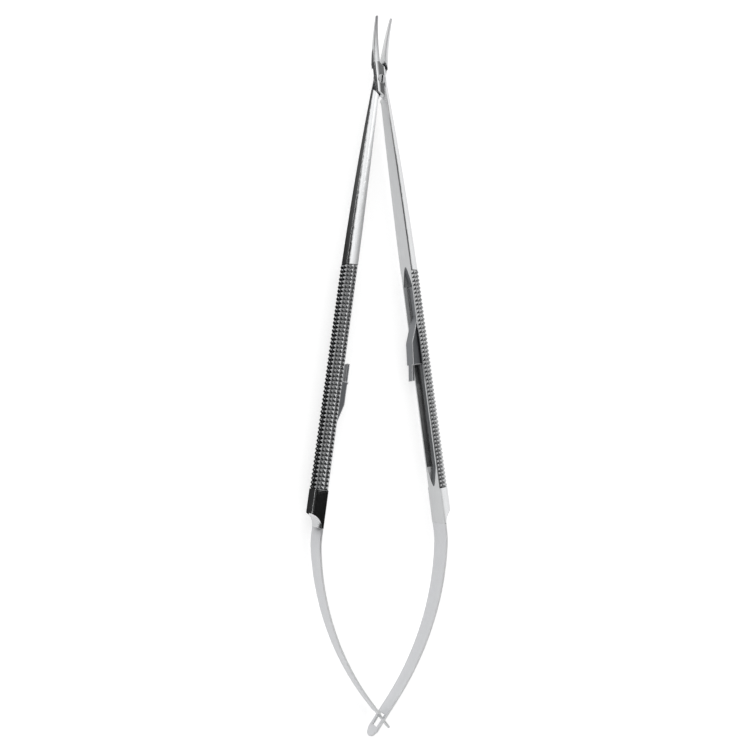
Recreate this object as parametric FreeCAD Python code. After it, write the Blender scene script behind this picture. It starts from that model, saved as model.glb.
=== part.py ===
import FreeCAD, Part
import math
import os

# Spring-handled micro needle holder, 180 mm long, lying with its jaws curved up.
# X is the opening direction, +Y points to the jaw tips and +Z is up.
# All sizes are millimetres and degrees. Lengths along an arm are counted from the pivot.

# How far each arm stands off the middle line, at rest and with the jaws shut
open_half_angle = 7.9
closed_half_angle = 1.7

# Jaws
jaw_length = 16.0
jaw_tip_width = 0.6
jaw_tip_height = 0.95
jaw_rise = 2.7
jaw_face_gap = 0.04
jaw_corner_share = 0.8
jaw_sections = 7

# Lap joint: two plates with slanted shoulders
joint_half_width = 1.6
joint_thickness = 3.0
shoulder_inner = 4.6
shoulder_outer = 3.0
shoulder_clearance = 0.15
shoulder_bevel = 0.25
joint_edge_round = 0.95
lap_gap = 0.03
plate_run_out = 1.6

# Pivot screw
screw_diameter = 1.2
screw_running_clearance = 0.02
screw_head_diameter = 2.1
screw_head_height = 0.6
screw_head_stand = 0.12
screw_head_chamfer = 0.06
screw_slot_width = 0.42
screw_slot_depth = 0.32

# Half-round arms
flat_offset = 0.35
shank_start_radius = 1.4
shank_middle_radius = 2.55
shank_end_radius = 3.1
shank_length = 50.4
grip_length = 56.1
grip_start_radius = 3.3
grip_end_radius = 3.5
tooth_pitch = 1.02
tooth_height = 0.4
handle_end_length = 9.2
scallop_radius = 3.4

# Boat-shaped hollow in each inner flat
hollow_margin_top = 1.3
hollow_margin_end = 0.3
hollow_taper = 5.0
hollow_radius = 2.75
hollow_lift = 1.05

# Leaf springs
leaf_thickness = 0.5
leaf_straight = 1.5
leaf_first_radius = 20.0
leaf_first_turn = 10.9
leaf_second_radius = 65.4
leaf_second_turn = 35.0
leaf_tail_width = 4.8
leaf_seat_clearance = 0.03
leaf_root_set_back = 0.12

# Link at the tail: the tongue of one leaf goes through the window of the other
window_before = 0.9
window_after = 2.4
window_side_clearance = 0.3
tongue_width = 2.0
tongue_shoulder = 1.6
tongue_reach = 3.4
tongue_end_round = 0.6
tail_reach = 5.1
tail_nose_start = 3.3
tail_nose_width = 3.6

# Lock pieces in the hollows; their lengths are counted from the start of the grip
lock_fit = 0.02
lock_foot_clearance = 0.3
lock_foot_width = 4.0
lock_body_width = 3.8
lock_foot_depth = 0.9
catch_ramp_start = 11.5
catch_crest = 18.4
catch_crest_height = 1.7
catch_body_end = 24.2
catch_body_height = 2.2
catch_tongue_length = 4.1
catch_tongue_height = 2.7
catch_tongue_thickness = 0.65
catch_tongue_width = 2.2
keeper_tongue_start = 24.6
keeper_tongue_length = 4.7
keeper_tongue_height = 2.1
keeper_tongue_thickness = 0.7
keeper_tongue_width = 1.9
keeper_step_length = 0.8
keeper_body_height = 1.75
keeper_ramp_start = 35.0
keeper_ramp_end = 44.0
keeper_foot_end = 46.0

# Sizes that follow from the ones above
half_thickness = joint_thickness / 2
half_lap_gap = lap_gap / 2
grip_end = shank_length + grip_length
leaf_root = grip_end + handle_end_length
shoulder_slope = (shoulder_inner - shoulder_outer) / joint_half_width
recess_reach = shoulder_inner + shoulder_clearance * math.hypot(1, shoulder_slope)
leaf_root_half_width = math.sqrt(grip_end_radius ** 2 - leaf_thickness ** 2)
leaf_tail_half_width = leaf_tail_width / 2
window_half_width = tongue_width / 2 + window_side_clearance
hollow_start = shank_length - hollow_margin_top
hollow_end = grip_end - hollow_margin_end
tooth_rows = round(grip_length / tooth_pitch)
tooth_columns = round(math.pi * (grip_start_radius + grip_end_radius) / 2 / tooth_pitch)
leaf_cut = 4 * leaf_thickness

# Longer than anything that a cutting piece goes through, and the tolerances
big = 4 * joint_thickness + 2 * jaw_length
small = 1e-6
facet_play = 1e-4
line_play = lap_gap / 100

origin = FreeCAD.Vector(0, 0, 0)
x_axis = FreeCAD.Vector(1, 0, 0)
y_axis = FreeCAD.Vector(0, 1, 0)
z_axis = FreeCAD.Vector(0, 0, 1)


def vector(x, y, z=0.0):
    return FreeCAD.Vector(x, y, z)


def turned(shape, angle, axis=z_axis, centre=origin):
    copy = shape.copy()
    copy.rotate(centre, axis, angle)
    return copy


def polygon_face(points):
    return Part.Face(Part.makePolygon(points + points[:1]))


def flat_prism(outline, bottom, top):
    # outline in X and Y, raised from bottom to top
    face = polygon_face([vector(x, y, bottom) for x, y in outline])
    return face.extrude(vector(0, 0, top - bottom))


def arm_point(along, outward, height=0.0):
    # outward is counted from the plane of the inner flat
    return vector(flat_offset + outward, -along, height)


def half_round(edges):
    # a profile on the axis of the arm, turned through half a circle
    face = Part.Face(Part.Wire(edges))
    centre = arm_point(0, 0)
    face.rotate(centre, y_axis, 90)
    return face.revolve(centre, -y_axis, 180)


def line(first, second):
    return Part.makeLine(first, second)


def polyline(points):
    return [line(a, b) for a, b in zip(points, points[1:])]


# One jaw: D-shaped sections with a flat inner face, smaller and higher towards the tip
def jaw_section(share, rise):
    root_width = joint_half_width - jaw_face_gap / 2
    width = root_width + (jaw_tip_width - root_width) * share
    half = (joint_thickness + (jaw_tip_height - joint_thickness) * share) / 2
    corner = min(joint_edge_round, jaw_corner_share * half, jaw_corner_share * width)
    bend = corner * (1 - math.sqrt(0.5))
    along = shoulder_inner + (jaw_length - shoulder_inner) * share
    middle = rise * share ** 2
    inner = -jaw_face_gap / 2

    def at(x, z):
        return vector(inner - x, along, middle + z)

    return Part.Wire([
        line(at(0, -half), at(0, half)),
        line(at(0, half), at(width - corner, half)),
        Part.Arc(at(width - corner, half), at(width - bend, half - bend), at(width, half - corner)).toShape(),
        line(at(width, half - corner), at(width, corner - half)),
        Part.Arc(at(width, corner - half), at(width - bend, bend - half), at(width - corner, -half)).toShape(),
        line(at(width - corner, -half), at(0, -half)),
    ])


def jaw(rise):
    shares = [number / (jaw_sections - 1) for number in range(jaw_sections)]
    return Part.makeLoft([jaw_section(share, rise) for share in shares], True, False)


# Tells whether an edge runs along one of the joint's two sides
def is_long_side(edge):
    first, second = (vertex.Point for vertex in edge.Vertexes)
    at_side = abs(abs(first.x) - joint_half_width) < small and abs(first.x - second.x) < small
    return at_side and abs(first.z - second.z) < small


# The plate of one half, with both slanted ends, wide enough to carry jaw and shank
def joint_plate():
    run_out = turned(Part.Vertex(arm_point(shoulder_inner + plate_run_out, 0)), closed_half_angle).Point
    outline = [
        (-joint_half_width, -shoulder_outer),
        (-joint_half_width, shoulder_inner),
        (-jaw_face_gap / 2, shoulder_inner),
        (joint_half_width, shoulder_outer),
        (joint_half_width, run_out.y),
        (run_out.x, run_out.y),
        (0, -shoulder_inner),
    ]
    plate = flat_prism(outline, -half_thickness, half_thickness)
    sides = [edge for edge in plate.Edges if is_long_side(edge)]
    plate = plate.makeFillet(joint_edge_round, sides)
    ends = [
        bevel_bar(vector(-jaw_face_gap / 2, shoulder_inner), vector(joint_half_width, shoulder_outer)),
        bevel_bar(vector(0, -shoulder_inner), vector(-joint_half_width, -shoulder_outer)),
    ]
    return plate.cut(ends)


# A three-sided bar that bevels the front edge of a wall; the metal is on the right of its line
def bevel_bar(first, second):
    course = (second - first).normalize()
    inward = vector(course.y, -course.x)
    spare = joint_half_width

    def at(depth, height):
        return first + depth * inward + vector(0, 0, half_thickness + height)

    face = polygon_face([
        at(-spare, -shoulder_bevel - spare),
        at(shoulder_bevel + spare, spare),
        at(-spare, spare),
    ])
    return face.extrude(second - first)


# Room in the rear layer for the plate of the other half
def lap_recess():
    outline = [
        (-big, recess_reach - shoulder_slope * big),
        (big, recess_reach + shoulder_slope * big),
        (big, -recess_reach + shoulder_slope * big),
        (-big, -recess_reach - shoulder_slope * big),
    ]
    return flat_prism(outline, -big, half_lap_gap)


# Outer edges of the shoulder on the shank, without the foot of the recess
def shank_shoulder_edges(body):
    found = []
    for edge in body.Edges:
        points = [vertex.Point for vertex in edge.Vertexes]
        points.append(edge.valueAt((edge.FirstParameter + edge.LastParameter) / 2))
        offsets = [point.y - shoulder_slope * point.x + recess_reach for point in points]
        at_foot = min(point.z for point in points) > half_lap_gap - lap_gap
        if max(map(abs, offsets)) < line_play and not at_foot:
            found.append(edge)
    return found


# Bevels the rear edge of the shoulder on the jaw
def jaw_shoulder_bar():
    first = vector(joint_half_width, recess_reach + shoulder_slope * joint_half_width)
    second = vector(-2 * joint_half_width, recess_reach - 2 * shoulder_slope * joint_half_width)
    return bevel_bar(first, second).mirror(origin, z_axis)


# The shank swells in one long arc from the joint to the grip
def shank():
    start = arm_point(0, shank_start_radius)
    middle = arm_point(shank_length / 2, shank_middle_radius)
    end = arm_point(shank_length, shank_end_radius)
    return half_round([
        line(arm_point(0, 0), start),
        Part.Arc(start, middle, end).toShape(),
        line(end, arm_point(shank_length, 0)),
        line(arm_point(shank_length, 0), arm_point(0, 0)),
    ])


def grip_radius(along):
    share = (along - shank_length) / grip_length
    return grip_start_radius + (grip_end_radius - grip_start_radius) * share


def grip_point(row, column, depth):
    along = shank_length + grip_length * row / tooth_rows
    angle = math.pi * (column / tooth_columns - 0.5)
    radius = grip_radius(along) - depth
    return arm_point(along, radius * math.cos(angle), radius * math.sin(angle))


# The cross-cut grip: a grid of V grooves leaves one four-sided pyramid in each cell
def grip():
    points = []
    triangles = []
    row_points = tooth_columns + 1
    for row in range(tooth_rows + 1):
        for column in range(row_points):
            points.append(grip_point(row, column, tooth_height))
    for row in range(tooth_rows):
        for column in range(tooth_columns):
            first = row * row_points + column
            corners = [first, first + row_points, first + row_points + 1, first + 1]
            peak = len(points)
            points.append(grip_point(row + 0.5, column + 0.5, 0))
            for side in range(4):
                triangles.append((corners[side], corners[(side + 1) % 4], peak))
        near = row * row_points
        far = near + tooth_columns
        triangles.append((near, far, far + row_points))
        triangles.append((near, far + row_points, near + row_points))
    last = tooth_rows * row_points
    for column in range(1, tooth_columns):
        triangles.append((0, column, column + 1))
        triangles.append((last, last + column + 1, last + column))
    shell = Part.Shape()
    shell.makeShapeFromMesh((points, triangles), facet_play, True)
    solid = Part.Solid(shell)
    if solid.Volume < 0:
        solid.reverse()
    return solid.removeSplitter()


# Smooth end of the handle, hollowed by a scallop that runs out into the leaf
def handle_end():
    end = leaf_root - leaf_root_set_back
    corners = [(grip_end, 0), (grip_end, grip_end_radius), (end, grip_end_radius), (end, 0), (grip_end, 0)]
    body = half_round(polyline([arm_point(along, outward) for along, outward in corners]))
    middle = arm_point(leaf_root, leaf_thickness + scallop_radius, -grip_end_radius)
    scallop = Part.makeCylinder(scallop_radius, 2 * grip_end_radius, middle)
    seat_radius = leaf_thickness / 2 + leaf_seat_clearance
    seat_foot = arm_point(leaf_root, leaf_thickness / 2, -grip_end_radius)
    seat = Part.makeCylinder(seat_radius, 2 * grip_end_radius, seat_foot)
    return body.cut([scallop, seat])


# The hollow is a turned shape whose axis lies above the flat, so that its ends run to a point
def hollow(clearance, tapered):
    axis = -hollow_lift
    deep = axis + hollow_radius - clearance
    corners = [(hollow_start, axis), (hollow_start, deep), (hollow_end, deep), (hollow_end, axis)]
    if tapered:
        corners[1:3] = [
            (hollow_start, 0),
            (hollow_start + hollow_taper, deep),
            (hollow_end - hollow_taper, deep),
            (hollow_end, 0),
        ]
    corners.append(corners[0])
    face = Part.Face(Part.Wire(polyline([arm_point(along, outward) for along, outward in corners])))
    return face.revolve(arm_point(0, axis), y_axis, 360)


def arm():
    body = shank().fuse([grip(), handle_end()])
    return body.cut(hollow(0, True))


# One half in the stance with the jaws shut: left jaw, plate in the front layer, right arm
def half(rise):
    body = jaw(rise).fuse([joint_plate(), turned(arm(), closed_half_angle)]).cut(lap_recess())
    return body.cut(jaw_shoulder_bar()).makeChamfer(shoulder_bevel, shank_shoulder_edges(body))


def front_half():
    depth = half_thickness + screw_head_stand - screw_head_height
    bore = Part.makeCylinder(screw_diameter / 2 + screw_running_clearance, joint_thickness)
    head_room = Part.makeCylinder(
        screw_head_diameter / 2 + screw_running_clearance,
        joint_thickness,
        vector(0, 0, depth - screw_running_clearance),
    )
    return half(jaw_rise).cut([bore, head_room])


def rear_half():
    body = turned(half(-jaw_rise), 180, y_axis)
    bore = Part.makeCylinder(screw_diameter / 2, joint_thickness, vector(0, 0, -joint_thickness))
    return body.cut(bore)


def pivot_screw():
    top = half_thickness + screw_head_stand
    under = top - screw_head_height
    shaft = Part.makeCylinder(screw_diameter / 2, under + half_thickness, vector(0, 0, -half_thickness))
    head = Part.makeCylinder(screw_head_diameter / 2, screw_head_height, vector(0, 0, under))
    rim = [edge for edge in head.Edges if edge.BoundBox.ZMin > top - screw_head_chamfer and edge.Closed]
    head = head.makeChamfer(screw_head_chamfer, rim)
    slot = Part.makeBox(
        screw_slot_width,
        2 * screw_head_diameter,
        2 * screw_slot_depth,
        vector(-screw_slot_width / 2, -screw_head_diameter, top - screw_slot_depth),
    )
    return shaft.fuse(head).cut(slot).removeSplitter()


# Leaf path in the arm's own frame, as points and headings; headings turn inward
def leaf_stations():
    point = arm_point(leaf_root, leaf_thickness / 2)
    heading = 0.0
    stations = [(point, heading)]
    point = point + leaf_straight * leaf_direction(heading)
    stations.append((point, heading))
    for radius, turn in ((leaf_first_radius, leaf_first_turn), (leaf_second_radius, leaf_second_turn)):
        centre = point - radius * leaf_normal(heading)
        heading = heading + turn
        point = centre + radius * leaf_normal(heading)
        stations.append((point, heading))
    return stations


def leaf_direction(heading):
    angle = math.radians(heading)
    return vector(-math.sin(angle), -math.cos(angle))


def leaf_normal(heading):
    # points to the outer side of the leaf
    angle = math.radians(heading)
    return vector(math.cos(angle), -math.sin(angle))


# Where the tail meets the middle plane of the open instrument
def leaf_crossing():
    point, heading = leaf_stations()[-1]
    middle = leaf_normal(open_half_angle)
    return point - (point.dot(middle) / leaf_direction(heading).dot(middle)) * leaf_direction(heading)


# The strip from the root to the end of the second bend, straight-sided in thickness
def leaf_strip():
    stations = leaf_stations()
    half = leaf_thickness / 2
    sides = {}
    for side in (half, -half):
        edges = []
        for (start, first), (end, last) in zip(stations, stations[1:]):
            a = start + side * leaf_normal(first)
            b = end + side * leaf_normal(last)
            if first == last:
                edges.append(line(a, b))
            else:
                radius = (end - start).Length / (2 * math.sin(math.radians(last - first) / 2))
                centre = start - radius * leaf_normal(first)
                middle = centre + (radius + side) * leaf_normal((first + last) / 2)
                edges.append(Part.Arc(a, middle, b).toShape())
        sides[side] = edges
    root, heading = stations[0]
    end, last = stations[-1]
    cap = Part.Arc(
        root + half * leaf_normal(heading),
        root - half * leaf_direction(heading),
        root - half * leaf_normal(heading),
    ).toShape()
    stop = line(end + half * leaf_normal(last), end - half * leaf_normal(last))
    face = Part.Face(Part.Wire(Part.__sortEdges__(sides[half] + sides[-half] + [cap, stop])))
    face.translate(vector(0, 0, -leaf_root_half_width))
    strip = face.extrude(vector(0, 0, 2 * leaf_root_half_width))
    return strip.common(leaf_taper(root, end))


# Side outline of the strip: it narrows evenly from the handle to the tail
def leaf_taper(root, end):
    first = -root.y
    last = -end.y
    spare = 2 * leaf_thickness
    corners = [
        (first - spare, leaf_root_half_width),
        (first + spare, leaf_root_half_width),
        (last + spare, leaf_tail_half_width),
        (last + spare, -leaf_tail_half_width),
        (first + spare, -leaf_root_half_width),
        (first - spare, -leaf_root_half_width),
    ]
    face = polygon_face([vector(-leaf_root, -along, height) for along, height in corners])
    return face.extrude(vector(2 * leaf_root, 0, 0))


# A flat piece of the tail, drawn in lengths past the crossing and heights, in the plane of the leaf
def tail_piece(edges, thickness):
    crossing = leaf_crossing()
    heading = leaf_stations()[-1][1]
    face = Part.Face(Part.Wire(edges))
    face.translate(vector(0, 0, -thickness / 2))
    solid = face.extrude(vector(0, 0, thickness))
    placed = turned(solid, 90, x_axis)
    placed = turned(placed, -90 - heading, z_axis)
    placed.translate(crossing)
    return placed


def tail_start():
    # how far before the crossing the straight tail begins
    return (leaf_crossing() - leaf_stations()[-1][0]).Length


def window_tail():
    half = leaf_tail_half_width
    start = -tail_start()
    nose = tail_nose_width / 2
    corner = vector(tail_nose_start, half)
    lower = vector(tail_nose_start, -half)
    shoulder = vector((tail_nose_start + tail_reach) / 2, nose)
    shoulder_low = vector(shoulder.x, -nose)
    edges = polyline([vector(start, half), corner, shoulder])
    edges.append(Part.Arc(shoulder, vector(tail_reach, 0), shoulder_low).toShape())
    edges += polyline([shoulder_low, lower, vector(start, -half), vector(start, half)])
    opening = [
        vector(-window_before, window_half_width),
        vector(window_after, window_half_width),
        vector(window_after, -window_half_width),
        vector(-window_before, -window_half_width),
    ]
    window = tail_piece(polyline(opening + opening[:1]), leaf_cut)
    return tail_piece(edges, leaf_thickness).cut(window), window


# Everything beside and past the tongue, from its shoulders on
def tongue_relief():
    end = tongue_reach + leaf_thickness
    blank = polyline([
        vector(-tongue_shoulder, -leaf_root_half_width),
        vector(-tongue_shoulder, leaf_root_half_width),
        vector(end, leaf_root_half_width),
        vector(end, -leaf_root_half_width),
        vector(-tongue_shoulder, -leaf_root_half_width),
    ])
    side = tongue_width / 2
    bend = tongue_reach - tongue_end_round
    tip = tongue_end_round * math.sqrt(0.5)
    tongue = polyline([
        vector(bend, -side),
        vector(-tongue_shoulder - tongue_width, -side),
        vector(-tongue_shoulder - tongue_width, side),
        vector(bend, side),
    ])
    for sign in (1, -1):
        heel = vector(bend, sign * side)
        round_middle = vector(bend + tip, sign * (side - tongue_end_round + tip))
        toe = vector(tongue_reach, sign * (side - tongue_end_round))
        tongue.append(Part.Arc(heel, round_middle, toe).toShape())
    tongue.append(line(vector(tongue_reach, side - tongue_end_round), vector(tongue_reach, tongue_end_round - side)))
    return tail_piece(blank, leaf_cut).cut(tail_piece(Part.__sortEdges__(tongue), 2 * leaf_cut))


def front_leaf():
    tail, window = window_tail()
    return leaf_strip().fuse(tail).cut(window).removeSplitter()


def rear_leaf():
    half = leaf_tail_half_width
    start = -tail_start()
    corners = [(start, half), (tongue_reach, half), (tongue_reach, -half), (start, -half), (start, half)]
    tail = tail_piece(polyline([vector(along, height) for along, height in corners]), leaf_thickness)
    body = leaf_strip().fuse(tail).cut(tongue_relief())
    return turned(body.removeSplitter(), 180, y_axis)


# A lock piece: side outlines in lengths along the arm and heights above the flat, each with a width
def lock_piece(outlines):
    solids = []
    for corners, width in outlines:
        face = polygon_face([arm_point(shank_length + along, -height, -width / 2) for along, height in corners])
        solids.append(face.extrude(vector(0, 0, width)))
    return solids[0].fuse(solids[1:]).common(hollow(lock_fit, False)).removeSplitter()


def lock_catch():
    foot_start = hollow_taper - hollow_margin_top + lock_foot_clearance
    foot_top = -lock_foot_depth
    tongue_end = catch_body_end + catch_tongue_length
    foot = [
        (foot_start, -hollow_radius),
        (foot_start, foot_top),
        (catch_body_end, foot_top),
        (catch_body_end, -hollow_radius),
    ]
    body = [
        (catch_ramp_start, -hollow_radius),
        (catch_ramp_start, foot_top),
        (catch_crest, catch_crest_height),
        (catch_body_end, catch_body_height),
        (catch_body_end, -hollow_radius),
    ]
    tongue = [
        (catch_crest, foot_top),
        (catch_crest, catch_crest_height),
        (catch_body_end, catch_body_height),
        (tongue_end, catch_tongue_height),
        (tongue_end, catch_tongue_height - catch_tongue_thickness),
        (catch_body_end, catch_body_height - catch_tongue_thickness),
        (catch_body_end, foot_top),
    ]
    return lock_piece([(foot, lock_foot_width), (body, lock_body_width), (tongue, catch_tongue_width)])


def lock_keeper():
    foot_top = -lock_foot_depth
    body_start = keeper_tongue_start + keeper_tongue_length
    foot = [
        (body_start, -hollow_radius),
        (body_start, foot_top),
        (keeper_foot_end, foot_top),
        (keeper_foot_end, -hollow_radius),
    ]
    body = [
        (body_start, -hollow_radius),
        (body_start, keeper_tongue_height),
        (body_start + keeper_step_length, keeper_body_height),
        (keeper_ramp_start, keeper_body_height),
        (keeper_ramp_end, foot_top),
        (keeper_ramp_end, -hollow_radius),
    ]
    tongue = [
        (keeper_tongue_start, keeper_tongue_height),
        (body_start + keeper_step_length / 2, keeper_tongue_height),
        (body_start + keeper_step_length / 2, keeper_tongue_height - keeper_tongue_thickness),
        (keeper_tongue_start, keeper_tongue_height - keeper_tongue_thickness),
    ]
    piece = lock_piece([(foot, lock_foot_width), (body, lock_body_width), (tongue, keeper_tongue_width)])
    return turned(piece, 180, y_axis)


# Everything is set to the open stance; halves are drawn with the jaws shut, the rest along its arm
opening = open_half_angle - closed_half_angle
nodes = {
    "front_arm": turned(front_half(), opening),
    "rear_arm": turned(rear_half(), -opening),
    "front_spring": turned(front_leaf(), open_half_angle),
    "rear_spring": turned(rear_leaf(), -open_half_angle),
    "pivot_screw": turned(pivot_screw(), -opening),
    "lock_catch": turned(lock_catch(), open_half_angle),
    "lock_keeper": turned(lock_keeper(), -open_half_angle),
}

# The origin is under the middle of the whole instrument
box = Part.makeCompound(list(nodes.values())).optimalBoundingBox()
shift = vector(-box.Center.x, -box.Center.y, -box.ZMin)
os.makedirs("parts", exist_ok=True)
for name, shape in nodes.items():
    placed = shape.copy()
    placed.translate(shift)
    print(name, shape.isValid(), len(shape.Solids), len(shape.Faces), round(shape.Volume, 2))
    placed.exportStep(os.path.join("parts", name + ".step"))

hinge = arm_point(leaf_root, leaf_thickness / 2)
print("pivot", shift)
print("front leaf hinge", turned(Part.Vertex(hinge), open_half_angle).Point + shift)
print("crossing", turned(Part.Vertex(leaf_crossing()), open_half_angle).Point + shift)
print("box", box.XLength, box.YLength, box.ZLength)
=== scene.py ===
import math

import bmesh
import bpy
from mathutils import Matrix, Vector


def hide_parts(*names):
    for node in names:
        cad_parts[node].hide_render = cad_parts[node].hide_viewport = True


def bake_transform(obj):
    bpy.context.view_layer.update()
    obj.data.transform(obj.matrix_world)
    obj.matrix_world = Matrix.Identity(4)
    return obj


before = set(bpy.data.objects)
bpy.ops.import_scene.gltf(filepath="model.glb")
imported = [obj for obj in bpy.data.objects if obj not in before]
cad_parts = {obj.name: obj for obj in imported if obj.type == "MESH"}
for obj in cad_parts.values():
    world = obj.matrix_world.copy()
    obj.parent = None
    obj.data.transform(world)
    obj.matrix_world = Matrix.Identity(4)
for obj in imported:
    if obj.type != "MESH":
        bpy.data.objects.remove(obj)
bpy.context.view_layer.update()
mm = 0.001
white = (1, 1, 1, 1)

# Sizes taken from the part, in millimetres and degrees
part = {
    "pivotY": 74.4334, "pivotZ": 3.5,
    "halfAngle": 7.9, "flatOffset": 0.35,
    "gripStart": 50.4, "gripEnd": 106.5, "gripFirstRadius": 3.3, "gripLastRadius": 3.5,
    "hollowStart": 49.1, "hollowEnd": 106.2, "hollowHalf": 2.54,
    "jawStart": 4.6, "jointReach": 10.5, "plateTop": 1.5, "screwStand": 0.12,
    "leafRoot": 115.7, "leafThick": 0.5, "leafStraight": 1.5,
    "bends": ((20.0, 10.9), (65.4, 35.0)),
    "rootHalf": 3.464, "tailHalf": 2.4,
    "windowBefore": 0.9, "windowAfter": 2.4, "windowHalf": 1.3,
    "tailReach": 5.1, "noseStart": 3.3, "noseHalf": 1.8,
    "tongueHalf": 1.0, "tongueShoulder": 1.6, "tongueReach": 3.4, "tongueRound": 0.6,
}


# sRGB hex to linear light
def linear(hexColour):
    channels = [int(hexColour[i:i + 2], 16) / 255 for i in (1, 3, 5)]
    return tuple(c / 12.92 if c <= 0.04045 else ((c + 0.055) / 1.055) ** 2.4 for c in channels) + (1.0,)


# Adds one node: settings are its properties, inputs are values, sockets or nodes. Of a node, the first output
# in use is taken. A mix node's inputs 2 and 3 are its two values, 4 and 5 its vectors, 6 and 7 its colours.
def add(tree, kind, inputs=None, **settings):
    node = tree.nodes.new("ShaderNode" + kind)
    for name, value in settings.items():
        setattr(node, name, value)
    for name, value in (inputs or {}).items():
        if isinstance(value, bpy.types.Node):
            value = next(output for output in value.outputs if output.enabled)
        if isinstance(value, bpy.types.NodeSocket):
            tree.links.new(value, node.inputs[name])
        else:
            node.inputs[name].default_value = value
    return node


# 1 between low and high, with soft ends
def between(tree, value, low, high, edge):
    rising = add(tree, "MapRange", {"Value": value, "From Min": low - edge, "From Max": low + edge},
                 interpolation_type="SMOOTHSTEP")
    falling = add(tree, "MapRange", {"Value": value, "From Min": high - edge, "From Max": high + edge,
                                     "To Min": 1.0, "To Max": 0.0}, interpolation_type="SMOOTHSTEP")
    return add(tree, "Math", {0: rising, 1: falling}, operation="MULTIPLY")


def newMaterial(name):
    material = bpy.data.materials.new(name)
    material.use_nodes = True
    material.node_tree.nodes.clear()
    return material


# Camera, fitted to the photograph: its place is measured from the pivot, in its own directions
cameraValues = {
    "yaw": 23.097, "pitch": -5.045, "roll": 0.047,
    "across": 1.242, "along": 76.598, "distance": 221.193,
    "focalPixels": 849.033, "imageWidth": 750, "sensorWidth": 36.0,
    "clipStart": 0.01, "clipEnd": 20,
}


def makeCamera():
    v = cameraValues
    turn = Matrix.Rotation(math.radians(v["roll"]), 3, "Z")
    turn = turn @ Matrix.Rotation(math.radians(v["pitch"]), 3, "X")
    turn = turn @ Matrix.Rotation(math.radians(v["yaw"]), 3, "Y")
    place = turn.transposed() @ Vector((-v["across"], -v["along"], v["distance"]))
    place = (place + Vector((0, part["pivotY"], part["pivotZ"]))) * mm
    data = bpy.data.cameras.new("view")
    data.sensor_width = v["sensorWidth"]
    data.lens = v["focalPixels"] * v["sensorWidth"] / v["imageWidth"]
    data.clip_start = v["clipStart"]
    data.clip_end = v["clipEnd"]
    camera = bpy.data.objects.new("view", data)
    camera.matrix_world = Matrix.Translation(place) @ turn.transposed().to_4x4()
    bpy.context.scene.collection.objects.link(camera)
    bpy.context.scene.camera = camera


makeCamera()
bpy.context.scene.view_settings.view_transform = "Standard"
print("camera placed")

# Light of the room, and how softly each box of light ends at its sides and at the horizon
lightValues = {
    "room": 0.045, "boxEdge": 0.05,
    "horizon": {"From Min": -0.1, "From Max": 0.0},
    "overheadFade": {"From Min": -0.8, "From Max": 0.3, "To Min": 1.45, "To Max": 0.5},
}

# Boxes of light by the direction they come from: across to the right, along towards the jaws. A bound past
# the last direction leaves a box without an end there. The overhead one fades across, by overheadFade.
noEnd = 2.0
lightBoxes = {
    "overhead": {"across": (-0.82, 0.28), "along": (0.0, noEnd)},
    "side": {"across": (0.66, noEnd), "along": (-0.27, noEnd), "strength": 1.2},
    "gap": {"across": (0.28, 0.66), "along": (0.08, 0.47), "strength": 0.11},
    "front": {"across": (0.12, 0.62), "along": (-noEnd, -0.36), "strength": 1.0},
    "frontFar": {"across": (-0.85, 0.12), "along": (-noEnd, -0.6), "strength": 1.0},
    "head": {"across": (-0.4, 0.66), "along": (0.47, noEnd), "strength": 0.75},
    "low": {"across": (0.28, 0.66), "along": (-0.28, 0.08), "strength": 0.8},
}


def makeStudio():
    v = lightValues
    world = bpy.data.worlds.new("studio")
    world.use_nodes = True
    bpy.context.scene.world = world
    tree = world.node_tree
    tree.nodes.clear()
    direction = add(tree, "TexCoord").outputs["Generated"]
    across, along, up = add(tree, "SeparateXYZ", {0: direction}).outputs
    above = add(tree, "MapRange", {"Value": up, **v["horizon"]}, interpolation_type="SMOOTHSTEP")
    fading = add(tree, "MapRange", {"Value": across, **v["overheadFade"]}, interpolation_type="SMOOTHSTEP")
    level = v["room"]
    for box in lightBoxes.values():
        light = above
        for bearing, bounds in ((across, box["across"]), (along, box["along"])):
            inside = between(tree, bearing, *bounds, v["boxEdge"])
            light = add(tree, "Math", {0: light, 1: inside}, operation="MULTIPLY")
        light = add(tree, "Math", {0: light, 1: box.get("strength", fading)}, operation="MULTIPLY")
        level = add(tree, "Math", {0: level, 1: light}, operation="ADD")
    studio = add(tree, "Background", {"Color": white, "Strength": level})
    plain = add(tree, "Background", {"Color": white, "Strength": 1.0})
    path = add(tree, "LightPath").outputs
    seen = add(tree, "Math", {0: path["Is Camera Ray"], 1: path["Is Transmission Ray"]}, operation="MAXIMUM")
    both = add(tree, "MixShader", {0: seen, 1: studio, 2: plain})
    add(tree, "OutputWorld", {"Surface": both})


def stagePlane(name, corners, material):
    mesh = bpy.data.meshes.new(name)
    mesh.from_pydata([[c * mm for c in corner] for corner in corners], [], [list(range(len(corners)))])
    mesh.materials.append(material)
    plane = bpy.data.objects.new(name, mesh)
    bpy.context.scene.collection.objects.link(plane)
    return plane


# Matt white paper. Its glow shows to the camera and in the steel alone, so it looks white and takes a shadow.
floorValues = {"colour": "#cfcfcf", "glow": 0.64, "reach": 2500, "height": -0.02}


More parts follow.
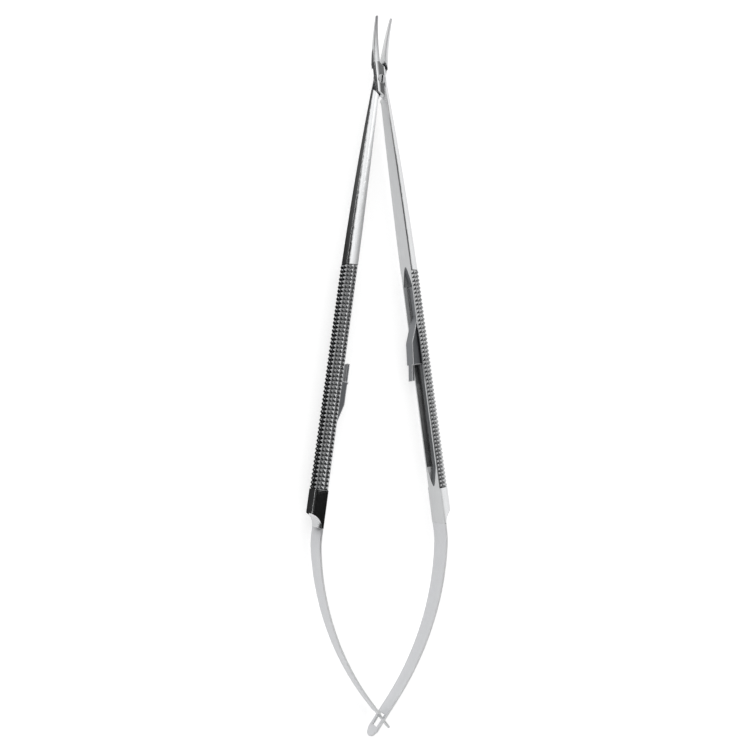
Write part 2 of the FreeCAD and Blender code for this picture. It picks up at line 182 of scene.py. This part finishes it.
def makeFloor():
    v = floorValues
    material = newMaterial("white studio paper")
    tree = material.node_tree
    paper = add(tree, "BsdfDiffuse", {"Color": linear(v["colour"])})
    path = add(tree, "LightPath").outputs
    seen = add(tree, "Math", {0: path["Is Camera Ray"], 1: path["Is Glossy Ray"]}, operation="MAXIMUM")
    seen = add(tree, "Math", {0: seen, 1: path["Is Transmission Ray"]}, operation="MAXIMUM")
    strength = add(tree, "Math", {0: seen, 1: v["glow"]}, operation="MULTIPLY")
    glow = add(tree, "Emission", {"Color": white, "Strength": strength})
    both = add(tree, "AddShader", {0: paper, 1: glow})
    add(tree, "OutputMaterial", {"Surface": both})
    corners = [(x * v["reach"], y * v["reach"], v["height"]) for x, y in ((-1, -1), (1, -1), (1, 1), (-1, 1))]
    stagePlane("floor", corners, material)


# Point beside the left arm: a length from the pivot and a distance out from the arm's middle line
def besideLeftArm(along, outward, height):
    half = math.radians(part["halfAngle"])
    return (-along * math.sin(half) - outward * math.cos(half),
            part["pivotY"] - along * math.cos(half) + outward * math.sin(half), height)


# Leaves a plane in the steel's reflections alone
def hideFromCamera(plane):
    plane.visible_camera = False
    plane.visible_shadow = False
    plane.visible_diffuse = False


# A dark card close to the left arm that shows only in its polished steel, as in a studio. Its near edge is a
# list of lengths from the pivot and distances out, and it gets lighter from the grip to the joint.
cardValues = {
    "height": 0.4, "reach": 150.0,
    "edge": ((-9.0, 3.4), (-8.0, 3.2), (0.0, 2.1), (50.0, 3.2), (51.0, 2.4), (116.5, 2.4)),
    "nearGrip": "#444444", "nearJoint": "#747474", "gripY": 20, "jointY": 60,
}


def makeCard():
    v = cardValues
    material = newMaterial("black studio card")
    tree = material.node_tree
    place = add(tree, "SeparateXYZ", {0: add(tree, "TexCoord").outputs["Object"]}).outputs[1]
    share = add(tree, "MapRange", {"Value": place, "From Min": v["gripY"] * mm, "From Max": v["jointY"] * mm},
                interpolation_type="SMOOTHSTEP")
    colour = add(tree, "Mix", {"Factor": share, 6: linear(v["nearGrip"]), 7: linear(v["nearJoint"])},
                 data_type="RGBA")
    card = add(tree, "BsdfDiffuse", {"Color": colour})
    add(tree, "OutputMaterial", {"Surface": card})
    near = [besideLeftArm(along, outward, v["height"]) for along, outward in v["edge"]]
    far = [besideLeftArm(along, v["reach"], v["height"]) for along in (v["edge"][-1][0], v["edge"][0][0])]
    hideFromCamera(stagePlane("darkCard", near + far, material))


# A small black flag over the end of the left handle, which darkens what its polished round reflects
flagValues = {"height": 12.0, "along": (106.4, 119.0), "outward": (-8.0, 24.0), "colour": "#242424"}


def makeFlag():
    v = flagValues
    material = newMaterial("black studio flag")
    tree = material.node_tree
    flag = add(tree, "BsdfDiffuse", {"Color": linear(v["colour"])})
    add(tree, "OutputMaterial", {"Surface": flag})
    (start, end), (low, high) = v["along"], v["outward"]
    outline = ((start, low), (end, low), (end, high), (start, high))
    corners = [besideLeftArm(along, outward, v["height"]) for along, outward in outline]
    hideFromCamera(stagePlane("darkFlag", corners, material))


makeStudio()
makeFloor()
makeCard()
makeFlag()
print("studio lit")


# Texture coordinates in millimetres along the arm, so that the brushing runs with it
def armCoordinates(tree, side):
    place = add(tree, "TexCoord").outputs["Object"]
    pivot = (0.0, -part["pivotY"] * mm, -part["pivotZ"] * mm)
    moved = add(tree, "Mapping", {"Vector": place, "Location": pivot}, vector_type="POINT")
    turned = add(tree, "VectorRotate", {"Vector": moved, "Angle": math.radians(-part["halfAngle"] * side)},
                 rotation_type="Z_AXIS")
    return add(tree, "VectorMath", {0: turned, "Scale": 1 / mm}, operation="SCALE")


# How steel is uneven by hand work: patches and brush lines change its roughness, and lines its shade and
# relief. An edge gets a painted highlight where the cosine between its rounded normal and its own lies low
# in edgeTurn.
finishValues = {
    "patchSize": 2.857, "patchDetail": 3.0, "patchRoughness": 0.10,
    "lineDetail": 2.0, "lineBreakUp": 0.6, "lineRoughness": 0.12, "lineDepth": 0.004,
    "lineShade": {"From Min": 0.3, "From Max": 0.7, "To Min": 0.90, "To Max": 1.0},
    "noiseMiddle": 0.5,
    "edgeTurn": {"From Min": 0.90, "From Max": 0.99, "To Min": 1.0, "To Max": 0.0},
}


# Brush lines of one pitch and length in millimetres. Real ones are finer, and would not show.
def brushing(tree, coordinates, pitch, length):
    v = finishValues
    grain = add(tree, "Mapping", {"Vector": coordinates, "Scale": (1 / pitch, 1 / length, 1 / pitch)})
    return add(tree, "TexNoise", {"Vector": grain, "Scale": 1.0, "Detail": v["lineDetail"],
                                  "Roughness": v["lineBreakUp"]})


# Rounded normal along the edges, and how far it leaves the surface's own: 1 on an edge
def softEdges(tree, radius, samples):
    soft = add(tree, "Bevel", {"Radius": radius * mm}, samples=samples)
    own = add(tree, "NewGeometry").outputs["Normal"]
    near = add(tree, "VectorMath", {0: soft, 1: own}, operation="DOT_PRODUCT")
    edge = add(tree, "MapRange", {"Value": near, **finishValues["edgeTurn"]}, interpolation_type="SMOOTHSTEP")
    return soft, edge


# A steel surface of colour, roughness and normal, slightly uneven as hand-finished steel is
def finishSteel(tree, coordinates, colour, rough, lines, depth, normal, metal=1.0):
    v = finishValues
    patches = add(tree, "TexNoise", {"Vector": coordinates, "Scale": 1 / v["patchSize"],
                                     "Detail": v["patchDetail"]})
    changes = []
    for pattern, share in ((patches, v["patchRoughness"]), (lines, v["lineRoughness"])):
        change = add(tree, "Math", {0: pattern, 1: v["noiseMiddle"]}, operation="SUBTRACT")
        changes.append(add(tree, "Math", {0: change, 1: share}, operation="MULTIPLY"))
    uneven = add(tree, "Math", {0: changes[0], 1: changes[1]}, operation="ADD")
    rough = add(tree, "Math", {0: uneven, 1: rough}, operation="ADD", use_clamp=True)
    shade = add(tree, "MapRange", {"Value": lines, **v["lineShade"]}, interpolation_type="SMOOTHSTEP")
    colour = add(tree, "Mix", {"Factor": 1.0, 6: colour, 7: shade}, data_type="RGBA", blend_type="MULTIPLY")
    height = add(tree, "Math", {0: lines, 1: depth}, operation="MULTIPLY")
    bump = add(tree, "Bump", {"Height": height, "Distance": v["lineDepth"] * mm, "Strength": 1.0,
                              "Normal": normal})
    steel = add(tree, "BsdfPrincipled", {"Base Color": colour, "Roughness": rough, "Metallic": metal,
                                         "Normal": bump})
    add(tree, "OutputMaterial", {"Surface": steel})


# Colours and roughness of the arms' finishes, and colours of their painted shade and highlight. Off the
# flats, brush lines have roundDepth of their full depth.
steelValues = {
    "polished": "#d3d4d5", "satin": "#c9cacb", "jaw": "#d6d7d8", "hollow": "#66686a",
    "valleyShade": "#8a8b8c", "sideValleyShade": "#434446", "flankShade": "#333435", "lapShade": "#4a4b4d", "edgeHighlight": "#f0f0f1",
    "polishedRoughness": 0.13, "satinRoughness": 0.36, "gripRoughness": 0.28,
    "jawRoughness": 0.40, "hollowRoughness": 0.42, "edgeHighlightMetal": 0.3,
    "brushPitch": 0.06, "brushLength": 4.0, "roundDepth": 0.12,
    "edgeHighlightWidth": 0.35, "edgeHighlightSamples": 8, "edgeRound": 0.05, "edgeSamples": 4,
}

# Where one finish or painted shade gives way to the next on an arm: the measure, its two ends, and the value
# at each end.
# Zones along the arm give way over twice zoneEdge, and the hollow over hollowEdge.
zoneEdge = 0.1
hollowEdge = 0.15
steelSteps = {
    "insideFlat": ("outward", 0.01, 0.03, 1.0, 0.0),
    "pastJoint": ("along", 3.0, 6.0, 0.0, 1.0),
    "jaw": ("along", -part["jawStart"] - zoneEdge, -part["jawStart"] + zoneEdge, 1.0, 0.0),
    "hollowWall": ("radius", part["hollowHalf"], part["hollowHalf"] + hollowEdge, 1.0, 0.0),
    "hollowTop": ("along", part["hollowStart"] - hollowEdge, part["hollowStart"], 0.0, 1.0),
    "hollowFloor": ("height", -1.5, -1.2, 0.0, 1.0),
    "hollowFoot": ("along", part["hollowEnd"], part["hollowEnd"] + hollowEdge, 1.0, 0.0),
    # Masks of the painted shade on the grip's teeth: on the side of the grip, in the valleys, and on the
    # flanks facing away from the jaws
    "sideOfGrip": ("aroundGrip", 0.78, 0.90, 0.0, 1.0),
    "valleyShade": ("toothDepth", 0.28, 0.40, 0.0, 1.0),
    "sideValleyShade": ("toothDepth", 0.10, 0.24, 0.0, 1.0),
    "flankShade": ("facingJaws", -0.50, -0.35, 1.0, 0.0),
    "nearJoint": ("along", part["jointReach"] - zoneEdge, part["jointReach"] + zoneEdge, 1.0, 0.0),
    "facingIn": ("facingOut", -0.10, -0.02, 1.0, 0.0),
    "lapPlane": ("offMiddle", 0.03, 0.06, 1.0, 0.0),
    "levelFace": ("levelness", 0.4, 0.6, 0.0, 1.0),
}


# What the steps of an arm are measured in: places in millimetres from its flat and the pivot, and directions
def armMeasures(tree, coordinates, side):
    x, y, height = add(tree, "SeparateXYZ", {0: coordinates}).outputs
    along = add(tree, "Math", {0: y, 1: -1.0}, operation="MULTIPLY")
    outward = add(tree, "Math", {0: x, 1: side}, operation="MULTIPLY")
    outward = add(tree, "Math", {0: outward, 1: part["flatOffset"]}, operation="SUBTRACT")
    squares = [add(tree, "Math", {0: way, 1: way}, operation="MULTIPLY") for way in (outward, height)]
    radius = add(tree, "Math", {0: squares[0], 1: squares[1]}, operation="ADD")
    radius = add(tree, "Math", {0: radius, 1: 0.0}, operation="SQRT")
    tips = add(tree, "MapRange", {"Value": along, "From Min": part["gripStart"], "From Max": part["gripEnd"],
                                  "To Min": part["gripFirstRadius"], "To Max": part["gripLastRadius"]})
    facing = add(tree, "TexCoord").outputs["Normal"]
    turn = math.radians(-part["halfAngle"] * side)
    facing = add(tree, "VectorRotate", {"Vector": facing, "Angle": turn}, rotation_type="Z_AXIS")
    facing = add(tree, "SeparateXYZ", {0: facing}).outputs
    return {
        "along": along, "outward": outward, "height": height, "radius": radius,
        "aroundGrip": add(tree, "Math", {0: outward, 1: radius}, operation="DIVIDE"),
        "toothDepth": add(tree, "Math", {0: tips, 1: radius}, operation="SUBTRACT"),
        "facingJaws": facing[1],
        "facingOut": add(tree, "Math", {0: facing[2], 1: height}, operation="MULTIPLY"),
        "offMiddle": add(tree, "Math", {0: height, 1: 0.0}, operation="ABSOLUTE"),
        "levelness": add(tree, "Math", {0: facing[2], 1: 0.0}, operation="ABSOLUTE"),
    }


# Stainless steel of one arm: lengthwise brushed satin flats, mirror-polished rounds that part the light into
# bands, a grip with painted shade on one flank of its teeth and in their valleys, fine-ground jaws, painted
# shade on the lap faces and a painted highlight along the edges near the joint, and painted shade in the
# milled hollow
def armSteel(name, side):
    v = steelValues
    material = newMaterial(name)
    tree = material.node_tree
    coordinates = armCoordinates(tree, side)
    measures = armMeasures(tree, coordinates, side)
    steps = {}
    for step, (measure, low, high, start, end) in steelSteps.items():
        steps[step] = add(tree, "MapRange", {"Value": measures[measure], "From Min": low, "From Max": high,
                                             "To Min": start, "To Max": end}, interpolation_type="SMOOTHSTEP")

    flat = add(tree, "Math", {0: steps["insideFlat"], 1: steps["pastJoint"]}, operation="MULTIPLY")
    offFlat = add(tree, "Math", {0: 1.0, 1: flat}, operation="SUBTRACT")
    grip = between(tree, measures["along"], part["gripStart"], part["gripEnd"], zoneEdge)
    grip = add(tree, "Math", {0: grip, 1: offFlat}, operation="MULTIPLY")
    # Painted shade in the milled hollow, which is also rougher
    hollow = offFlat
    for step in ("hollowWall", "hollowTop", "hollowFloor", "hollowFoot"):
        hollow = add(tree, "Math", {0: hollow, 1: steps[step]}, operation="MULTIPLY")
    # Painted shade in the teeth's valleys, darker on the side of the grip, and on the flanks facing away from
    # the jaws
    valleyShade = add(tree, "Mix", {"Factor": steps["sideOfGrip"], 2: steps["valleyShade"], 3: steps["sideValleyShade"]},
                 data_type="FLOAT")
    valleyShade = add(tree, "Math", {0: grip, 1: valleyShade}, operation="MULTIPLY")
    flankShade = add(tree, "Math", {0: grip, 1: steps["flankShade"]}, operation="MULTIPLY")
    # Painted shade on the faces near the joint that face the other half or lie in the lap plane, off the jaws
    lapFace = add(tree, "Math", {0: steps["lapPlane"], 1: steps["levelFace"]}, operation="MULTIPLY")
    inside = add(tree, "Math", {0: steps["facingIn"], 1: lapFace}, operation="MAXIMUM")
    offJaw = add(tree, "Math", {0: 1.0, 1: steps["jaw"]}, operation="SUBTRACT")
    lapShade = add(tree, "Math", {0: steps["nearJoint"], 1: inside}, operation="MULTIPLY")
    lapShade = add(tree, "Math", {0: lapShade, 1: offJaw}, operation="MULTIPLY")
    # Painted highlight along the edges near the joint: a light, less metallic colour
    edge = softEdges(tree, v["edgeHighlightWidth"], v["edgeHighlightSamples"])[1]
    edgeHighlight = add(tree, "Math", {0: steps["nearJoint"], 1: edge}, operation="MULTIPLY")

    # Each finish, and each painted shade or highlight, covers the ones before it
    rough = v["polishedRoughness"]
    roughCovers = ((grip, "gripRoughness"), (flat, "satinRoughness"), (steps["jaw"], "jawRoughness"),
                   (hollow, "hollowRoughness"))
    for zone, cover in roughCovers:
        rough = add(tree, "Mix", {"Factor": zone, 2: rough, 3: v[cover]}, data_type="FLOAT")
    valleyShadeColour = add(tree, "Mix", {"Factor": steps["sideOfGrip"], 6: linear(v["valleyShade"]),
                                     7: linear(v["sideValleyShade"])}, data_type="RGBA")
    colour = linear(v["polished"])
    colourCovers = (
        (flat, linear(v["satin"])), (steps["jaw"], linear(v["jaw"])), (flankShade, linear(v["flankShade"])),
        (valleyShade, valleyShadeColour), (lapShade, linear(v["lapShade"])), (edgeHighlight, linear(v["edgeHighlight"])),
        (hollow, linear(v["hollow"])),
    )
    for zone, cover in colourCovers:
        colour = add(tree, "Mix", {"Factor": zone, 6: colour, 7: cover}, data_type="RGBA")

    soft = softEdges(tree, v["edgeRound"], v["edgeSamples"])[0]
    sharp = add(tree, "NewGeometry").outputs["Normal"]
    normal = add(tree, "Mix", {"Factor": grip, 4: soft, 5: sharp}, data_type="VECTOR")
    lines = brushing(tree, coordinates, v["brushPitch"], v["brushLength"])
    depth = add(tree, "Mix", {"Factor": flat, 2: v["roundDepth"], 3: 1.0}, data_type="FLOAT")
    metal = add(tree, "Mix", {"Factor": edgeHighlight, 2: 1.0, 3: v["edgeHighlightMetal"]}, data_type="FLOAT")
    finishSteel(tree, coordinates, colour, rough, lines, depth, normal, metal)
    return material


# Spring leaf: brushed faces pull the highlight out across the lines, and ground edges are duller, with a
# painted highlight that makes them light
leafSteelValues = {
    "face": "#d2d3d5", "groundAndSheen": "#eeefef", "faceRoughness": 0.45, "groundRoughness": 0.85,
    "groundTurn": {"From Min": 0.3, "From Max": 0.6}, "brushPitch": 0.06, "brushLength": 3.0,
}


def leafSteel(name):
    v = leafSteelValues
    material = newMaterial(name)
    tree = material.node_tree
    coordinates = armCoordinates(tree, 0)
    lines = brushing(tree, coordinates, v["brushPitch"], v["brushLength"])
    normal = add(tree, "NewGeometry").outputs["Normal"]
    facing = add(tree, "SeparateXYZ", {0: add(tree, "TexCoord").outputs["Normal"]}).outputs[2]
    levelness = add(tree, "Math", {0: facing, 1: 0.0}, operation="ABSOLUTE")
    groundAndSheen = add(tree, "MapRange", {"Value": levelness, **v["groundTurn"]}, interpolation_type="SMOOTHSTEP")
    # Ground edges: rougher, and a painted highlight makes them near white
    colour = add(tree, "Mix", {"Factor": groundAndSheen, 6: linear(v["face"]), 7: linear(v["groundAndSheen"])},
                 data_type="RGBA")
    rough = add(tree, "Mix", {"Factor": groundAndSheen, 2: v["faceRoughness"], 3: v["groundRoughness"]},
                data_type="FLOAT")
    finishSteel(tree, coordinates, colour, rough, lines, 1.0, normal)
    return material


# Burnished steel with a painted highlight along its edges: it draws the thin light lines around the dark lock
lockValues = {
    "burnished": "#7a7c7f", "edgeHighlight": "#f0f0f1", "roughness": 0.36, "edgeHighlightMetal": 0.3,
    "edgeWidth": 0.4, "edgeSamples": 8, "brushPitch": 0.08, "brushLength": 1.0,
}


def lockSteel(name):
    v = lockValues
    material = newMaterial(name)
    tree = material.node_tree
    coordinates = armCoordinates(tree, 0)
    lines = brushing(tree, coordinates, v["brushPitch"], v["brushLength"])
    # Painted highlight along the edges: a light, less metallic colour
    soft, edgeHighlight = softEdges(tree, v["edgeWidth"], v["edgeSamples"])
    colour = add(tree, "Mix", {"Factor": edgeHighlight, 6: linear(v["burnished"]), 7: linear(v["edgeHighlight"])},
                 data_type="RGBA")
    metal = add(tree, "Mix", {"Factor": edgeHighlight, 2: 1.0, 3: v["edgeHighlightMetal"]}, data_type="FLOAT")
    finishSteel(tree, coordinates, colour, v["roughness"], lines, 1.0, soft, metal)
    return material


# Turned screw head: light, with painted shade in its slot below. The painted shade lies between two depths.
screwValues = {
    "turned": "#d6d7d8", "slot": "#333435", "roughness": 0.42, "slotDepth": (0.12, 0.07),
    "ringPitch": 0.05, "edgeWidth": 0.06, "edgeSamples": 8,
}


def screwSteel(name):
    v = screwValues
    material = newMaterial(name)
    tree = material.node_tree
    coordinates = armCoordinates(tree, 0)
    height = add(tree, "SeparateXYZ", {0: coordinates}).outputs[2]
    low, high = [part["plateTop"] + part["screwStand"] - depth for depth in v["slotDepth"]]
    # Painted shade in the slot, by depth below the head's top
    slot = add(tree, "MapRange", {"Value": height, "From Min": low, "From Max": high,
                                  "To Min": 1.0, "To Max": 0.0}, interpolation_type="SMOOTHSTEP")
    colour = add(tree, "Mix", {"Factor": slot, 6: linear(v["turned"]), 7: linear(v["slot"])},
                 data_type="RGBA")
    rings = add(tree, "VectorMath", {0: coordinates}, operation="LENGTH")
    rings = add(tree, "Math", {0: rings, 1: 1 / v["ringPitch"]}, operation="MULTIPLY")
    lines = add(tree, "TexNoise", {"W": rings, "Scale": 1.0}, noise_dimensions="1D")
    soft = softEdges(tree, v["edgeWidth"], v["edgeSamples"])[0]
    finishSteel(tree, coordinates, colour, v["roughness"], lines, 1.0, soft)
    return material


def dress(node, material):
    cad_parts[node].material_slots[0].material = material


dress("front_arm", armSteel("satin and polished steel, right arm", 1))
dress("rear_arm", armSteel("satin and polished steel, left arm", -1))
dress("pivot_screw", screwSteel("turned screw steel"))
dress("lock_catch", lockSteel("burnished lock steel, catch"))
dress("lock_keeper", lockSteel("burnished lock steel, keeper"))
springSteel = leafSteel("brushed spring steel")
dress("front_spring", springSteel)
dress("rear_spring", springSteel)
print("steel made")

# Leaf springs: their round edges, the cuts across them, the stretch that bends and their outlines' points
leafValues = {
    "edgeRound": 0.07, "edgeSteps": 2, "step": 0.6, "intoHandle": 0.15, "bendLength": 34.0,
    "outlineSteps": 60, "noseSteps": 8, "tongueSteps": 6, "smoothAngle": 40, "endless": 1000.0,
    "weld": 1e-4, "cutPlay": 1e-5,
}


def flatToArm(outward, along):
    return Vector((part["flatOffset"] + outward, -along, 0.0))


# Way along the leaf and way out of its face, at a heading
def leafWays(heading):
    out = Vector((math.cos(heading), -math.sin(heading), 0))
    return Vector((-math.sin(heading), -math.cos(heading), 0)), out


# Middle line of the leaf in the arm's frame: stretches of (length, start point, start heading, radius)
def leafPath():
    point = flatToArm(part["leafThick"] / 2, part["leafRoot"])
    stretches = [(part["leafStraight"], point, 0.0, None)]
    point = point + Vector((0, -part["leafStraight"], 0))
    heading = 0.0
    for radius, turn in part["bends"]:
        turn = math.radians(turn)
        stretches.append((radius * turn, point, heading, radius))
        centre = point - radius * leafWays(heading)[1]
        heading += turn
        point = centre + radius * leafWays(heading)[1]
    stretches.append((leafValues["endless"], point, heading, None))
    return stretches


def alongLeaf(path, distance):
    for length, point, heading, radius in path:
        if distance <= length:
            break
        distance -= length
    way, out = leafWays(heading)
    if radius is None:
        return point + distance * way, heading
    centre = point - radius * out
    heading += distance / radius
    return centre + radius * leafWays(heading)[1], heading


# Length along the leaf at which its straight tail meets the middle plane of the instrument
def crossingLength(path):
    length = sum(stretch[0] for stretch in path[:-1])
    point, heading = path[-1][1], path[-1][2]
    half = math.radians(part["halfAngle"])
    middle = Vector((math.cos(half), -math.sin(half), 0))
    return length - point.dot(middle) / leafWays(heading)[0].dot(middle)


# Half the leaf's width at a length along it: it narrows evenly from the root to its straight tail
def leafHalf(path, distance):
    last = sum(stretch[0] for stretch in path[:-1])
    root, end = path[0][1].y, path[-1][1].y
    spare = 2 * part["leafThick"]
    here = alongLeaf(path, min(distance, last))[0].y
    share = min(max((root - spare - here) / (root - end), 0.0), 1.0)
    return part["rootHalf"] + (part["tailHalf"] - part["rootHalf"]) * share


# Upper edge of the window leaf's rounded nose
def noseEdge(crossing):
    steps = leafValues["noseSteps"]
    depth = (part["tailReach"] - part["noseStart"]) / 2
    radius = (part["noseHalf"] ** 2 + depth ** 2) / (2 * depth)
    reach = math.asin(part["noseHalf"] / radius)
    angles = [reach * (1 - number / steps) for number in range(steps + 1)]
    tip = crossing + part["tailReach"]
    return [(tip - radius * (1 - math.cos(angle)), radius * math.sin(angle)) for angle in angles]


# Upper edge of the tongue, from its shoulder to its rounded corner
def tongueEdge(crossing):
    steps, radius = leafValues["tongueSteps"], part["tongueRound"]
    middle = crossing + part["tongueReach"] - radius
    angles = [math.radians(90 - 90 * number / steps) for number in range(steps + 1)]
    start = (crossing - part["tongueShoulder"], part["tongueHalf"])
    return [start] + [(middle + radius * math.cos(angle), part["tongueHalf"] - radius * (1 - math.sin(angle)))
                      for angle in angles]


# Outlines of one leaf laid flat: lengths along it and heights, the window last
def leafOutlines(path, window):
    crossing = crossingLength(path)
    count = leafValues["outlineSteps"]
    first = -leafValues["intoHandle"]
    last = crossing + (part["noseStart"] if window else -part["tongueShoulder"])
    lengths = [first + (last - first) * number / count for number in range(count + 1)]
    upper = [(distance, leafHalf(path, distance)) for distance in lengths]
    upper += noseEdge(crossing) if window else tongueEdge(crossing)
    lower = [(distance, -height) for distance, height in reversed(upper) if height > 0]
    outlines = [upper + lower]
    if window:
        low, high = crossing - part["windowBefore"], crossing + part["windowAfter"]
        half = part["windowHalf"]
        outlines.append([(low, -half), (high, -half), (high, half), (low, half)])
    return outlines


# A plate of the outlines with rounded edges, cut across often enough to bend smoothly
def flatPlate(name, outlines):
    v = leafValues
    curve = bpy.data.curves.new(name, "CURVE")
    curve.dimensions = "2D"
    curve.fill_mode = "BOTH"
    curve.extrude = part["leafThick"] / 2 - v["edgeRound"]
    curve.bevel_depth = v["edgeRound"]
    curve.bevel_resolution = v["edgeSteps"]
    curve.offset = -v["edgeRound"]
    for outline in outlines:
        spline = curve.splines.new("POLY")
        spline.points.add(len(outline) - 1)
        for point, (x, y) in zip(spline.points, outline):
            point.co = (x, y, 0, 1)
        spline.use_cyclic_u = True
    holder = bpy.data.objects.new(name, curve)
    bpy.context.scene.collection.objects.link(holder)
    bpy.context.view_layer.update()
    mesh = bpy.data.meshes.new_from_object(holder.evaluated_get(bpy.context.evaluated_depsgraph_get()))
    bpy.data.objects.remove(holder)
    form = bmesh.new()
    form.from_mesh(mesh)
    bmesh.ops.remove_doubles(form, verts=form.verts, dist=v["weld"])
    low = min(vertex.co.x for vertex in form.verts)
    high = max(vertex.co.x for vertex in form.verts)
    place = low + v["step"]
    while place < high - v["step"] / 2:
        geometry = form.verts[:] + form.edges[:] + form.faces[:]
        bmesh.ops.bisect_plane(form, geom=geometry, plane_co=(place, 0, 0), plane_no=(1, 0, 0),
                               dist=v["cutPlay"])
        place += v["step"]
    form.to_mesh(mesh)
    form.free()
    return mesh


def makeLeaf(name, side, window, node):
    path = leafPath()
    mesh = flatPlate(name, leafOutlines(path, window))
    turn = Matrix.Rotation(math.radians(part["halfAngle"]), 3, "Z")
    if side < 0:
        turn = Matrix.Rotation(math.pi, 3, "Y") @ turn
    shift = Vector((0, part["pivotY"], part["pivotZ"]))
    for vertex in mesh.vertices:
        distance, height, offset = vertex.co
        point, heading = alongLeaf(path, distance)
        point = point + offset * leafWays(heading)[1] + Vector((0, 0, height))
        vertex.co = (turn @ point + shift) * mm
    for face in mesh.polygons:
        face.use_smooth = True
    mesh.update()
    mesh.set_sharp_from_angle(angle=math.radians(leafValues["smoothAngle"]))
    mesh.materials.append(springSteel)
    piece = bpy.data.objects.new(name, mesh)
    bpy.context.scene.collection.objects.link(piece)
    end = (turn @ alongLeaf(path, leafValues["bendLength"])[0] + shift) * mm
    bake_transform(piece)
    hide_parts(node)
    return piece


makeLeaf("window_leaf", 1, True, "front_spring")
makeLeaf("tongue_leaf", -1, False, "rear_spring")
print("leaf springs bent")
